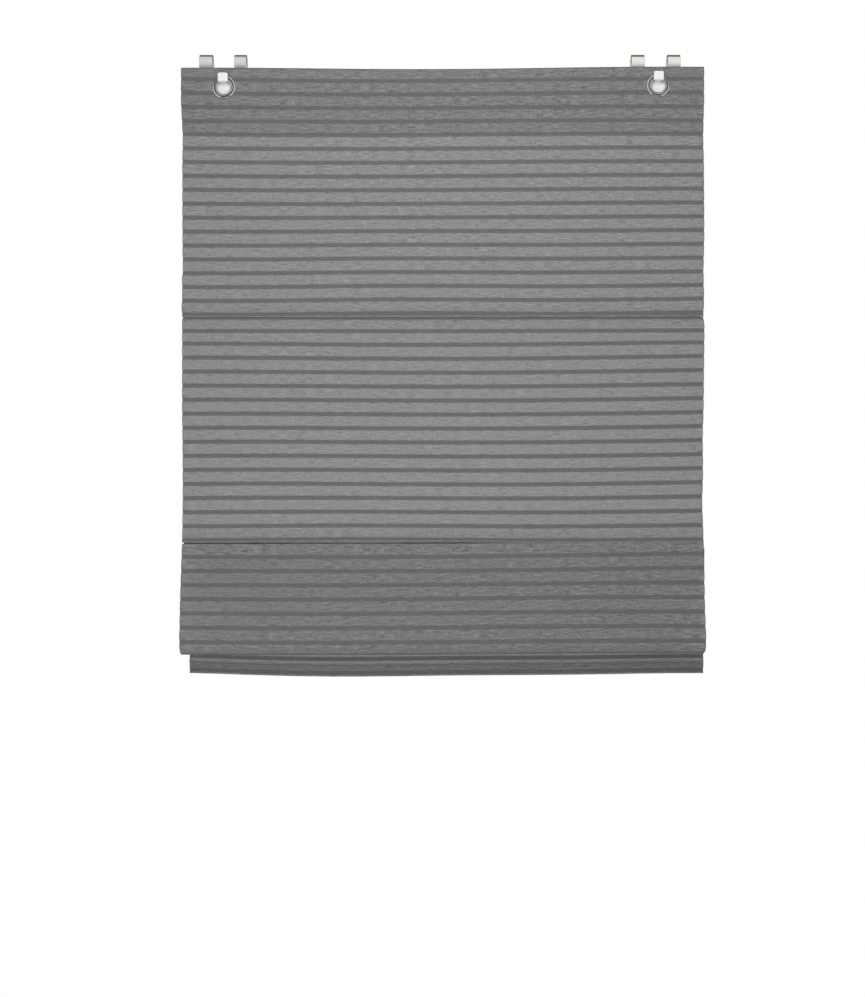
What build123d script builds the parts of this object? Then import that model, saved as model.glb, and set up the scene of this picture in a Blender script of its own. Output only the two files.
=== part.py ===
from build123d import *
import math
import os

# Roll-up blind in striped cloth, shown with one of its rod loops lifted and held by magnets
#
# Millimetres, +X to the right, the cloth's face towards -Y, +Z up. The origin is on the
# axis of the strap loops, at the middle of the blind's width.

# Cloth: thin stripes and raised bands woven in turn
BLIND_WIDTH = 800.0
STRIPE_THICKNESS = 0.5
BAND_THICKNESS = 0.9
STRIPE_REPEAT = 21.2
STRIPE_WIDTH = 6.0
FIRST_STRIPE = 20.5
LAYER_GAP = 0.3

# Drops of the cloth, measured down its face
TOP_EDGE_DROP = 12.1
UPPER_PANEL = 382.0
MIDDLE_PANEL = 345.6
FOLD_DROP = 174.3
TAIL_LENGTH = 196.0

# Turned cloth
TOP_HEM = 103.0
BOTTOM_HEM = 8.0
TURN_RADIUS = 0.8
TUNNEL_TAPER = 30.0
FOLD_RADIUS = 21.3
FOLD_START_RADIUS = 6.0
TAIL_LEAN = 2.6
HEM_LEAN = 20.0

# Fit of what the cloth holds
SLEEVE_CLEARANCE = 0.3
ROD_END_INSET = 4.0

# Stiffener in the top hem
STIFFENER_HEIGHT = 7.4
STIFFENER_THICKNESS = 1.2
STIFFENER_END_INSET = 5.0
STIFFENER_EDGE = 0.4
CHANNEL_RELIEF = 1.2

# Magnet rods
ROD_RADIUS = 4.0
ROD_WALL = 0.8
MAGNET_LENGTH = 12.0
MAGNET_PLACE = 250.0
MAGNET_CLEARANCE = 0.15
CAP_HEAD = 1.4
CAP_SPIGOT = 8.0
CAP_CLEARANCE = 0.1

# Weight bar in the bottom hem
BAR_RADIUS = 1.5
BAR_END_INSET = 5.0
BAR_EDGE = 0.4

# Eyelets
EYELET_INSET_LEFT = 64.4
EYELET_INSET_RIGHT = 70.3
LEFT_SAG = 2.5
EYELET_GAP = 0.4
EYELET_BORE = 10.7
BARREL_WALL = 0.7
FLANGE_RADIUS = 17.0
RIM_HEIGHT = 1.9
LIP_HEIGHT = 2.6
LIP_EDGE = 0.9
GROOVE_RADIUS = 13.5
GROOVE_HEIGHT = 0.9
CURL_RADIUS = 13.0
CURL_THICKNESS = 0.7
WASHER_RADIUS = 16.4
WASHER_THICKNESS = 1.2
WASHER_EDGE = 0.5
WASHER_CLEARANCE = 0.1
EYELET_CLEARANCE = 0.3

# Strap loops
STRAP_BORE = 10.0
STRAP_WIDTH = 19.5
STRAP_THICKNESS = 1.6
STRAP_SPACING = 54.2
STRAP_OVERLAP = 14.0
STRAP_CLEARANCE = 0.2

# Hook plates
PLATE_THICKNESS = 2.6
PLATE_MARGIN = 4.0
PLATE_TOP_GAP = 4.0
CROSSBAR_HEIGHT = 4.6
SLOT_HEIGHT = 4.4
LOWER_RAIL = 4.2
TONGUE_WIDTH = 30.0
TONGUE_DROP = 17.0
PLATE_CORNER = 3.0
TONGUE_CORNER = 10.0
NECK_FILLET = 4.0
SLOT_CLEARANCE = 1.0
PLATE_EDGE = 0.4
PLATE_SHIFT = -2.2
LEFT_HOOK_SHIFT = -1.2
RIGHT_HOOK_SHIFT = 0.3
ARM_WIDTH = 9.0
ARM_THICKNESS = 3.0
TIP_WIDTH = 15.0
TIP_THICKNESS = 2.4
TIP_HEIGHT = 20.8
TIP_CORNER = 2.8
TIP_CLEARANCE = 0.8
ARM_SEAT = 0.3
ARM_BEND = 2.2

# Sizes that follow from those above
HALF_WIDTH = BLIND_WIDTH / 2
HALF_BAND = BAND_THICKNESS / 2
LAYER_PITCH = BAND_THICKNESS + LAYER_GAP
CHANNEL_PITCH = BAND_THICKNESS + STIFFENER_THICKNESS + 2 * SLEEVE_CLEARANCE
CHANNEL_BACK_Y = -(STRAP_BORE + STRAP_THICKNESS + SLEEVE_CLEARANCE)
PANEL_Y = CHANNEL_BACK_Y - HALF_BAND - CHANNEL_PITCH
FACE_Y = PANEL_Y - HALF_BAND
HEM_BACK_Y = PANEL_Y + LAYER_PITCH + HALF_BAND

TOP_Z = -TOP_EDGE_DROP
TOP_TURN_Z = TOP_Z - CHANNEL_PITCH / 2 - HALF_BAND
STIFFENER_TOP_Z = TOP_TURN_Z
STIFFENER_BOTTOM_Z = STIFFENER_TOP_Z - STIFFENER_HEIGHT
CHANNEL_BOTTOM_Z = STIFFENER_BOTTOM_Z - SLEEVE_CLEARANCE
CHANNEL_END_Z = CHANNEL_BOTTOM_Z - CHANNEL_RELIEF
FIRST_SEAM_Z = TOP_Z - UPPER_PANEL
SECOND_SEAM_Z = FIRST_SEAM_Z - MIDDLE_PANEL
FOLD_AXIS_Z = SECOND_SEAM_Z - FOLD_DROP + FOLD_RADIUS + HALF_BAND

# A rod tunnel is two straight sides that leave the seam and run onto an arc round the rod
TUNNEL_RADIUS = ROD_RADIUS + SLEEVE_CLEARANCE + HALF_BAND
TAPER_SINE = math.sin(math.radians(TUNNEL_TAPER))
TAPER_COSINE = math.cos(math.radians(TUNNEL_TAPER))
SEAM_MOUTH = TURN_RADIUS + LAYER_PITCH / 2
TUNNEL_SIDE = ((TURN_RADIUS + TUNNEL_RADIUS) * TAPER_COSINE - SEAM_MOUTH) / TAPER_SINE
TUNNEL_ARC = 180 + 2 * TUNNEL_TAPER
TUNNEL_REACH = TUNNEL_SIDE * TAPER_COSINE + (TUNNEL_RADIUS + TURN_RADIUS) * TAPER_SINE
ROD_Y = PANEL_Y + TURN_RADIUS + TUNNEL_REACH
TUNNEL_PITCH = 2 * (TUNNEL_RADIUS + HALF_BAND) + LAYER_GAP
LIFTED_ROD_Y = ROD_Y + TUNNEL_PITCH
LIFTED_NECK_Y = LIFTED_ROD_Y - LAYER_PITCH / 2
LIFTED_NECK_Z = SECOND_SEAM_Z - TUNNEL_REACH

ROD_LENGTH = BLIND_WIDTH - 2 * ROD_END_INSET - 2 * CAP_HEAD
ROD_BORE = ROD_RADIUS - ROD_WALL

EYELET_Z = CHANNEL_END_Z - EYELET_GAP - WASHER_RADIUS

# Each eyelet's place along the width, how much lower that side hangs, and the hook's shift from it
HANGERS = {
    "left": (-HALF_WIDTH + EYELET_INSET_LEFT, LEFT_SAG, LEFT_HOOK_SHIFT),
    "right": (HALF_WIDTH - EYELET_INSET_RIGHT, 0, RIGHT_HOOK_SHIFT),
}
BARREL_RADIUS = EYELET_BORE + BARREL_WALL

PLATE_FRONT_Y = -STRAP_BORE + STRAP_CLEARANCE
PLATE_Y = PLATE_FRONT_Y + PLATE_THICKNESS / 2
PLATE_TOP_Z = TOP_Z - PLATE_TOP_GAP
CROSSBAR_BOTTOM_Z = PLATE_TOP_Z - CROSSBAR_HEIGHT
CROSSBAR_AXIS_Z = CROSSBAR_BOTTOM_Z + PLATE_THICKNESS / 2
SLOT_WIDTH = STRAP_WIDTH + 2 * SLOT_CLEARANCE
SLOT_BOTTOM_Z = CROSSBAR_BOTTOM_Z - SLOT_HEIGHT
RAIL_BOTTOM_Z = SLOT_BOTTOM_Z - LOWER_RAIL
WING_WIDTH = STRAP_SPACING + SLOT_WIDTH + 2 * PLATE_MARGIN
TONGUE_BOTTOM_Z = EYELET_Z - TONGUE_DROP
ARM_CROWN = EYELET_BORE - ARM_SEAT
ARM_BOTTOM_Z = EYELET_Z + ARM_CROWN - ARM_THICKNESS
TIP_TOP_Z = EYELET_Z + TIP_HEIGHT
TIP_BACK_Y = FACE_Y - LIP_HEIGHT - TIP_CLEARANCE

CROSSBAR_ROUND = PLATE_THICKNESS / 2 + STRAP_CLEARANCE
STRAP_SIDES = (-STRAP_SPACING / 2, STRAP_SPACING / 2)

os.makedirs("parts", exist_ok=True)


def save(piece, node):
    """Labels a finished piece and writes it."""
    piece.part.label = node
    export_step(piece.part, f"parts/{node}.step")


def straight(path, length):
    """Adds a straight stretch that goes on the way the path points."""
    path.append(PolarLine(start=path[-1] @ 1, length=length, direction=path[-1] % 1))


def turn(path, radius, angle):
    """Adds a round turn to the end of the path, to the left where the angle is positive."""
    path.append(
        JernArc(start=path[-1] @ 1, tangent=path[-1] % 1, radius=radius, arc_size=angle)
    )


def tunnel(path, turn_in, turn_out):
    """Adds a loop round a rod, which leaves its seam and comes back beside itself."""
    turn(path, TURN_RADIUS, turn_in + TUNNEL_TAPER)
    straight(path, TUNNEL_SIDE)
    turn(path, TUNNEL_RADIUS, -TUNNEL_ARC)
    straight(path, TUNNEL_SIDE)
    turn(path, TURN_RADIUS, turn_out + TUNNEL_TAPER)


def top_hem(path):
    """Starts the path up the hem's inner layer, round the stiffener and over to the face."""
    inner_y = PANEL_Y + LAYER_PITCH
    channel_y = PANEL_Y + CHANNEL_PITCH
    path.append(Line((inner_y, TOP_Z - TOP_HEM), (inner_y, CHANNEL_END_Z)))
    path.append(Line(path[-1] @ 1, (channel_y, CHANNEL_BOTTOM_Z)))
    path.append(Line(path[-1] @ 1, (channel_y, TOP_TURN_Z)))
    turn(path, CHANNEL_PITCH / 2, 180)


def face_down_to(path, seam_z):
    """Adds flat cloth down to the mouth of a seam."""
    path.append(Line(path[-1] @ 1, (PANEL_Y, seam_z + SEAM_MOUTH)))


def lifted_fold(path):
    """Adds the big fold, from the second seam down, round and up to the lifted rod.

    The cloth bends forward on a small circle, runs straight onto the large one at the
    bottom, and leaves that one straight up. The straight run is the line that crosses
    between the two circles and touches both.
    """
    start_y = PANEL_Y - FOLD_START_RADIUS
    start_z = SECOND_SEAM_Z - SEAM_MOUTH
    axis_y = LIFTED_NECK_Y - FOLD_RADIUS
    between = math.hypot(axis_y - start_y, FOLD_AXIS_Z - start_z)
    towards = math.degrees(math.atan2(start_y - axis_y, start_z - FOLD_AXIS_Z))
    crossing = math.degrees(math.asin((FOLD_RADIUS + FOLD_START_RADIUS) / between))
    lean = towards + crossing
    turn(path, FOLD_START_RADIUS, -lean)
    straight(path, math.sqrt(between**2 - (FOLD_RADIUS + FOLD_START_RADIUS) ** 2))
    turn(path, FOLD_RADIUS, 180 + lean)
    path.append(Line(path[-1] @ 1, (LIFTED_NECK_Y, LIFTED_NECK_Z)))


def bottom_hem(path):
    """Adds the turn round the weight bar and the hem's inner layer; gives the bar's axis."""
    bar_turn = BAR_RADIUS + SLEEVE_CLEARANCE + HALF_BAND
    lean = math.radians(HEM_LEAN)
    aside = bar_turn * (1 + math.cos(lean)) - TURN_RADIUS * (1 - math.cos(lean)) - LAYER_PITCH
    turn(path, bar_turn, 180 + HEM_LEAN)
    bar_axis = path[-1].center_point
    straight(path, aside / math.sin(lean))
    turn(path, TURN_RADIUS, -HEM_LEAN)
    straight(path, BOTTOM_HEM)
    return bar_axis


def stretch(path, start, end):
    """The pieces of the path between two distances along it."""
    pieces = []
    passed = 0.0
    for edge in path:
        low = max(start - passed, 0) / edge.length
        high = min((end - passed) / edge.length, 1)
        if high - low > 1e-6:
            pieces.append(edge.trim(low, high))
        passed += edge.length
    return pieces


def bands(path, crown):
    """The raised bands between the stripes, counted both ways from the crown of the top hem."""
    total = sum(edge.length for edge in path)
    first = crown + FIRST_STRIPE
    start_count = -math.ceil(first / STRIPE_REPEAT) - 1
    end_count = math.ceil((total - first) / STRIPE_REPEAT) + 1
    for count in range(start_count, end_count):
        low = max(first + count * STRIPE_REPEAT + STRIPE_WIDTH / 2, 0)
        high = min(first + (count + 1) * STRIPE_REPEAT - STRIPE_WIDTH / 2, total)
        if high - low > STRIPE_THICKNESS:
            yield stretch(path, low, high)


# The cloth: one strip folded along its whole length, drawn as its section and drawn out in width
with BuildPart() as fabric_panel:
    with BuildSketch(Plane.YZ):
        cloth = []
        with BuildLine():
            top_hem(cloth)
            crown = sum(edge.length for edge in cloth) - cloth[-1].length / 2
            face_down_to(cloth, FIRST_SEAM_Z)
            tunnel(cloth, 90, 90)
            face_down_to(cloth, SECOND_SEAM_Z)
            tunnel(cloth, 90, 90)
            lifted_fold(cloth)
            tunnel(cloth, 0, TAIL_LEAN)
            straight(cloth, TAIL_LENGTH)
            bar_axis = bottom_hem(cloth)
        trace(lines=cloth, line_width=STRIPE_THICKNESS)
        trace(lines=[piece for band in bands(cloth, crown) for piece in band], line_width=BAND_THICKNESS)
    extrude(amount=HALF_WIDTH, both=True)
    with BuildSketch(Plane.XZ) as eyelet_holes:
        for place, sag, _ in HANGERS.values():
            with Locations((place, EYELET_Z - sag)):
                Circle(BARREL_RADIUS + EYELET_CLEARANCE)
    extrude(amount=-2 * PANEL_Y, both=True, mode=Mode.SUBTRACT)
save(fabric_panel, "fabric_panel")
print("cloth length along the fold path", round(sum(edge.length for edge in cloth), 1))


# Stiffener: a flat strip that keeps the top edge level
with BuildPart() as top_stiffener:
    with BuildSketch(Plane.YZ):
        with Locations((PANEL_Y + CHANNEL_PITCH / 2, (STIFFENER_TOP_Z + STIFFENER_BOTTOM_Z) / 2)):
            RectangleRounded(STIFFENER_THICKNESS, STIFFENER_HEIGHT, STIFFENER_EDGE)
    extrude(amount=HALF_WIDTH - STIFFENER_END_INSET, both=True)
save(top_stiffener, "top_stiffener")

# Weight bar that pulls the tail straight
with BuildPart() as weight_bar:
    with BuildSketch(Plane.YZ):
        with Locations((bar_axis.X, bar_axis.Y)):
            Circle(BAR_RADIUS)
    extrude(amount=HALF_WIDTH - BAR_END_INSET, both=True)
    chamfer(weight_bar.edges().filter_by(GeomType.CIRCLE), BAR_EDGE)
save(weight_bar, "weight_bar")


def rod_tube(y, z):
    """The tube of a magnet rod."""
    with BuildPart() as tube:
        with BuildSketch(Plane.YZ):
            with Locations((y, z)):
                Circle(ROD_RADIUS)
                Circle(ROD_BORE, mode=Mode.SUBTRACT)
        extrude(amount=ROD_LENGTH / 2, both=True)
    return tube


def rod_magnet(y, z, place):
    """A round bar magnet inside a rod."""
    with BuildPart() as magnet:
        with BuildSketch(Plane.YZ.offset(place)):
            with Locations((y, z)):
                Circle(ROD_BORE - MAGNET_CLEARANCE)
        extrude(amount=MAGNET_LENGTH / 2, both=True)
    return magnet


def rod_cap(y, z, side):
    """The plug in a rod's end; side is -1 at the left end and 1 at the right."""
    mouth = Plane(origin=(side * ROD_LENGTH / 2, y, z), x_dir=(0, 1, 0), z_dir=(side, 0, 0))
    with BuildPart() as cap:
        with BuildSketch(mouth):
            Circle(ROD_RADIUS)
        extrude(amount=CAP_HEAD)
        with BuildSketch(mouth):
            Circle(ROD_BORE - CAP_CLEARANCE)
        extrude(amount=-CAP_SPIGOT)
    return cap


# Magnet rods: one in the tunnel of each seam, the lowest lifted up behind the middle one
ROD_AXES = {
    "upper": (ROD_Y, FIRST_SEAM_Z),
    "middle": (ROD_Y, SECOND_SEAM_Z),
    "lower": (LIFTED_ROD_Y, SECOND_SEAM_Z),
}
for rod, (y, z) in ROD_AXES.items():
    save(rod_tube(y, z), f"{rod}_rod_tube")
    for end, side in (("left", -1), ("right", 1)):
        save(rod_magnet(y, z, side * MAGNET_PLACE), f"{rod}_rod_{end}_magnet")
        save(rod_cap(y, z, side), f"{rod}_rod_{end}_cap")


def eyelet_section(place, sag):
    """The plane that holds an eyelet's axis: across is out from the axis, up is to the front."""
    return Plane(origin=(place, 0, EYELET_Z - sag), x_dir=(0, 0, 1), z_dir=(1, 0, 0))


def eyelet(place, sag):
    """Flange with two ridges, barrel and rear curl of an eyelet, pressed from one piece."""
    section = eyelet_section(place, sag)
    face = -FACE_Y
    washer_back = -HEM_BACK_Y - WASHER_THICKNESS
    curl_back = washer_back - CURL_THICKNESS
    with BuildPart() as ring:
        with BuildSketch(section):
            with BuildLine():
                Polyline(
                    (EYELET_BORE, face + LIP_EDGE),
                    (EYELET_BORE, curl_back),
                    (CURL_RADIUS, washer_back),
                    (BARREL_RADIUS, washer_back),
                    (BARREL_RADIUS, face),
                    (FLANGE_RADIUS, face),
                    ((FLANGE_RADIUS + GROOVE_RADIUS) / 2, face + RIM_HEIGHT),
                    (GROOVE_RADIUS, face + GROOVE_HEIGHT),
                    ((GROOVE_RADIUS + EYELET_BORE) / 2, face + LIP_HEIGHT),
                    close=True,
                )
            make_face()
        revolve(axis=Axis(section.origin, section.y_dir))
    return ring


def eyelet_washer(place, sag):
    """The ring behind the cloth that the eyelet's barrel is curled over."""
    section = eyelet_section(place, sag)
    inner = BARREL_RADIUS + WASHER_CLEARANCE
    with BuildPart() as washer:
        with BuildSketch(section):
            with BuildLine():
                Polyline(
                    (inner, -HEM_BACK_Y),
                    (inner, -HEM_BACK_Y - WASHER_THICKNESS),
                    (WASHER_RADIUS - WASHER_EDGE, -HEM_BACK_Y - WASHER_THICKNESS),
                    (WASHER_RADIUS, -HEM_BACK_Y),
                    close=True,
                )
            make_face()
        revolve(axis=Axis(section.origin, section.y_dir))
    return washer


def hook_plate(place, sag, hook_shift):
    """Moulded plate that hangs in two straps and carries the cloth on its hook."""
    origin = (place + PLATE_SHIFT, PLATE_FRONT_Y + PLATE_THICKNESS, -sag)
    back = Plane(origin=origin, x_dir=(1, 0, 0), z_dir=(0, -1, 0))
    front = back.offset(PLATE_THICKNESS)
    with BuildPart() as plate:
        with BuildSketch(back):
            with BuildLine():
                FilletPolyline(
                    (0, PLATE_TOP_Z),
                    (WING_WIDTH / 2, PLATE_TOP_Z),
                    (WING_WIDTH / 2, RAIL_BOTTOM_Z),
                    (TONGUE_WIDTH / 2, RAIL_BOTTOM_Z),
                    (TONGUE_WIDTH / 2, TONGUE_BOTTOM_Z),
                    (0, TONGUE_BOTTOM_Z),
                    radius=(PLATE_CORNER, PLATE_CORNER, NECK_FILLET, TONGUE_CORNER),
                )
                mirror(about=Plane.YZ)
            make_face()
        extrude(amount=PLATE_THICKNESS)
        chamfer(plate.faces().filter_by(Axis.Y).edges(), PLATE_EDGE)

        # Slots for the straps, under a crossbar whose lower edge is fully round
        with BuildSketch(back):
            with Locations(*[(side, (CROSSBAR_AXIS_Z + SLOT_BOTTOM_Z) / 2) for side in STRAP_SIDES]):
                Rectangle(SLOT_WIDTH, CROSSBAR_AXIS_Z - SLOT_BOTTOM_Z)
        extrude(amount=PLATE_THICKNESS, mode=Mode.SUBTRACT)
        for side in STRAP_SIDES:
            with BuildSketch(Plane.YZ.offset(origin[0] + side)):
                with Locations((PLATE_Y, CROSSBAR_AXIS_Z - sag)):
                    Circle(PLATE_THICKNESS / 2)
            extrude(amount=SLOT_WIDTH / 2, both=True)

        # Arm through the eyelet, crowned to the eyelet's bore
        hook = hook_shift - PLATE_SHIFT
        with BuildSketch(front):
            with Locations((-PLATE_SHIFT, EYELET_Z)):
                Circle(ARM_CROWN)
            with Locations((hook, EYELET_Z + ARM_CROWN - ARM_THICKNESS / 2)):
                Rectangle(ARM_WIDTH, ARM_THICKNESS, mode=Mode.INTERSECT)
        extrude(amount=PLATE_FRONT_Y - TIP_BACK_Y)

        # Upturned tip, rounded where it leaves the arm
        with BuildSketch(front.offset(PLATE_FRONT_Y - TIP_BACK_Y)):
            with Locations((hook, (ARM_BOTTOM_Z + TIP_TOP_Z) / 2)):
                tip = Rectangle(TIP_WIDTH, TIP_TOP_Z - ARM_BOTTOM_Z)
            fillet(tip.vertices().group_by(Axis.Y)[-1], TIP_CORNER)
        extrude(amount=TIP_THICKNESS)
        fillet(plate.faces().sort_by(Axis.Y)[0].edges().sort_by(Axis.Z)[0], ARM_BEND)
    return plate


def strap_outline(grow, crossbar):
    """The closed line round the top loop and the crossbar, moved outwards by grow."""
    with BuildSketch() as outline:
        Circle(STRAP_BORE + grow)
        with Locations(crossbar):
            Circle(CROSSBAR_ROUND + grow)
        make_hull()
    return outline.sketch


def strap(place, sag):
    """Webbing bent round the top and the crossbar, with its ends sewn together on the back run.

    Its middle leans from the top to the crossbar, and the back run leans by half its taper more.
    """
    crossbar = (PLATE_Y, CROSSBAR_AXIS_Z - sag)
    drop = math.hypot(*crossbar)
    half_taper = math.asin((STRAP_BORE - CROSSBAR_ROUND) / drop)
    back_lean = math.degrees(math.atan2(-PLATE_Y, sag - CROSSBAR_AXIS_Z) + half_taper)
    back_run = drop * math.cos(half_taper)
    with BuildPart() as webbing:
        with BuildSketch(Plane.YZ.offset(place)):
            add(strap_outline(STRAP_THICKNESS, crossbar))
            add(strap_outline(0, crossbar), mode=Mode.SUBTRACT)
            with PolarLocations(STRAP_BORE + STRAP_THICKNESS, 1, start_angle=-back_lean):
                with Locations((0, -back_run / 2)):
                    Rectangle(2 * STRAP_THICKNESS, STRAP_OVERLAP)
        extrude(amount=STRAP_WIDTH / 2, both=True)
    return webbing


# What carries the cloth: an eyelet, a hook plate and two straps near each side
for end, (place, sag, hook_shift) in HANGERS.items():
    save(eyelet(place, sag), f"{end}_eyelet")
    save(eyelet_washer(place, sag), f"{end}_eyelet_washer")
    save(hook_plate(place, sag, hook_shift), f"{end}_hook_plate")
    for side in STRAP_SIDES:
        towards = "outer" if side * place > 0 else "inner"
        save(strap(place + PLATE_SHIFT + side, sag), f"{end}_{towards}_strap")
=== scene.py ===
# %% [markdown]
# # A roll-up blind in striped cloth
#
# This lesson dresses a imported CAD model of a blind. The blind hangs on four strap loops.
# Two moulded hooks reach through metal eyelets and carry the cloth, and three rods with
# magnets in them lie in tunnels behind it. The lowest rod is lifted up behind the middle
# one, so the cloth makes a big fold at the bottom and a short tail hangs out below.
#
# The CAD model is the frame. It says where everything is, and the pieces made here sit in
# the same places, in metres, with +Z up and the cloth's face towards -Y.

# %% The frame
import math

import bpy
import numpy as np
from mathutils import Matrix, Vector


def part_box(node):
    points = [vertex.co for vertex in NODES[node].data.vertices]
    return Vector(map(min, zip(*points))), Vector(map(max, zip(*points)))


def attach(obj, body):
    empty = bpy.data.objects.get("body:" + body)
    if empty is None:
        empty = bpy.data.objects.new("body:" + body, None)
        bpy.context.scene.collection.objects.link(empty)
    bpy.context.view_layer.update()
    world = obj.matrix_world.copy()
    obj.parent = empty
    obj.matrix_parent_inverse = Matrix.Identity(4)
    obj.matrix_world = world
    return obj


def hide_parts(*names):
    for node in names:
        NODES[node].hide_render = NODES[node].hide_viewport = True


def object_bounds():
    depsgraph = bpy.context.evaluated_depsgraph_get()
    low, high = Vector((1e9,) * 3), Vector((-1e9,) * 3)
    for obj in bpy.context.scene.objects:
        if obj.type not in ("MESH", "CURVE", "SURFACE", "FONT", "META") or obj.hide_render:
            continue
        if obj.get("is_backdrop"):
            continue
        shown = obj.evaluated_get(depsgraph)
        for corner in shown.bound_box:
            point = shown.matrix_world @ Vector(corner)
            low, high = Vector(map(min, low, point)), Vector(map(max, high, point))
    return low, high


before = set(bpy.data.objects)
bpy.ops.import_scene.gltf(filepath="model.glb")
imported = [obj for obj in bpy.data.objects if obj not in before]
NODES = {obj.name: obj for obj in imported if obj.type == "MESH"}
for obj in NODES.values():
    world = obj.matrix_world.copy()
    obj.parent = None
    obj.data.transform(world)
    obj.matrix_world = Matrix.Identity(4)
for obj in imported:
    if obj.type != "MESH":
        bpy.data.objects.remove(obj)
cad_low, cad_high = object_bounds()
MM = 0.001
SIDES = ("left", "right")
print("CAD nodes:", len(NODES), "box:", [round(v, 3) for v in (*cad_low, *cad_high)])

# %% [markdown]
# ## Putting a surface into Blender
#
# Every new piece below is worked out as whole numpy arrays of points and faces. One helper puts them
# into a mesh, makes it ride on the blind's one body, and hides the CAD nodes that it stands for. The
# object stays at the origin, as its points hold its place.
#
# Edges that turn sharply, such as the cut side of the cloth, are marked sharp by their
# angle. Everything softer is shaded smooth.

# %% A new piece
SHARP_EDGE = math.radians(40)
link = bpy.context.scene.collection.objects.link


def new_piece(name, points, faces, stands_for=(), weave=None):
    """A mesh object from points (n, 3) and faces, with an optional UV point for each point."""
    mesh = bpy.data.meshes.new(name)
    mesh.from_pydata(np.asarray(points, float), [], faces)
    mesh.polygons.foreach_set("use_smooth", np.ones(len(mesh.polygons), bool))
    mesh.set_sharp_from_angle(angle=SHARP_EDGE)
    if weave is not None:
        corners = np.empty(len(mesh.loops), int)
        mesh.loops.foreach_get("vertex_index", corners)
        layer = mesh.uv_layers.new(name="weave")
        layer.data.foreach_set("uv", np.asarray(weave, float)[corners].ravel())
    piece = bpy.data.objects.new(name, mesh)
    link(piece)
    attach(piece, "root")
    if stands_for:
        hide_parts(*stands_for)
    return piece


def side_by_side(*parts):
    """The parts, stretched to one shape, as the last axis of one array."""
    return np.stack(np.broadcast_arrays(*parts), -1)


def grid_faces(rows, columns, around=False):
    """Quads of a grid, row by row; around also joins the last column to the first."""
    r = np.arange(rows - 1)[:, None]
    c = np.arange(columns if around else columns - 1)[None, :]
    beside = (c + 1) % columns
    corners = [r * columns + c, r * columns + beside, (r + 1) * columns + beside, (r + 1) * columns + c]
    return side_by_side(*corners).reshape(-1, 4)


# %% [markdown]
# ## The line that the cloth follows
#
# The real blind is one strip of cloth, folded only along its length, so its section is one
# long line of straight stretches and round turns. Each stretch needs two numbers: how long
# it is, and how far it turns. A straight stretch turns by nothing.
#
# A point at any distance along such a line has a closed form. On a turn, the chord from the
# start of the stretch is as long as the way along it times sin(a)/a, where a is half the
# angle turned so far, and it points halfway between the two headings. With a of zero that
# is a straight line, so one formula does for both, and for all distances at once.

# %% A folded line
class FoldLine:
    """A line of stretches (length, angle turned to the left), walked by distance."""

    def __init__(self, start, heading, stretches):
        self.lengths, self.turns = np.array(stretches, float).T
        self.starts = np.concatenate([[0], np.cumsum(self.lengths)])
        self.headings = heading + np.concatenate([[0], np.cumsum(self.turns)])[:-1]
        chords = self.chord(self.lengths, self.turns, self.headings)
        self.points = np.asarray(start, float) + np.concatenate([[[0, 0]], np.cumsum(chords, 0)])
        self.length = self.starts[-1]

    @staticmethod
    def chord(along, turned, heading):
        """The step from a turn's start: along * sin(a)/a, pointing at heading + a, a = turned/2."""
        reach = along * np.sinc(turned / (2 * np.pi))
        towards = heading + turned / 2
        return reach[..., None] * np.stack([np.cos(towards), np.sin(towards)], -1)

    def at(self, distance):
        """Points (y, z) and headings at an array of distances."""
        i = np.clip(np.searchsorted(self.starts, distance, side="right") - 1, 0, len(self.lengths) - 1)
        along = distance - self.starts[i]
        turned = self.turns[i] * along / self.lengths[i]
        return self.points[i] + self.chord(along, turned, self.headings[i]), self.headings[i] + turned


def straight(length):
    return length, 0.0


def turn(radius, degrees):
    return abs(radius * math.radians(degrees)), math.radians(degrees)


# %% [markdown]
# ## The cloth's own sizes
#
# The places come from the frame: the three rod tubes, the stiffener strip and the weight
# bar say where the cloth has to go round them. What the frame can't say, such as how thick
# the woven bands are or how tightly a seam turns, is named here once.

# %% Sizes and places for the cloth
BAND = 0.9 * MM
STRIPE = 0.5 * MM
CLEARANCE = 0.3 * MM
LAYER_PITCH = BAND + 0.3 * MM
SEAM_TURN = 0.46 * MM
TAPER = 30
FOLD_RADIUS = 21.3 * MM
FOLD_START_RADIUS = 6 * MM
TAIL_LEAN = 2.6
TAIL_LENGTH = 196 * MM
HEM_LEAN = 20
BOTTOM_HEM = 8 * MM
TOP_HEM = 103 * MM
CREASE = 0.4 * MM
CREASE_ANGLE = 51.3


def cos_sin(degrees):
    return math.cos(math.radians(degrees)), math.sin(math.radians(degrees))


def middle_of(node):
    low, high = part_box(node)
    return (low + high) / 2


rods = {place: middle_of(f"{place}_rod_tube") for place in ("upper", "middle", "lower")}
tube_low, tube_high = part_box("upper_rod_tube")
rod_radius = (tube_high.z - tube_low.z) / 2
strip_low, strip_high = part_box("top_stiffener")
channel_pitch = BAND + (strip_high.y - strip_low.y) + 2 * CLEARANCE
panel_y = (strip_low.y + strip_high.y) / 2 - channel_pitch / 2
top_z = strip_high.z + channel_pitch / 2 + BAND / 2
half_width = cad_high.x
seam_z = {place: rod.z for place, rod in rods.items()}

# %% [markdown]
# ### Round the rods and through the fold
#
# A tunnel leaves its seam on a tight turn, runs out at a slant, goes round the rod on an
# arc that touches both slants, and comes back beside itself. The slant's length follows
# from asking that the two arcs and the slant meet smoothly.
#
# The big fold starts on a small circle, bends round a large one at the bottom and goes up
# to the lifted rod. The straight piece between them is the line that touches both circles
# and crosses between them, which a right triangle gives.

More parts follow.
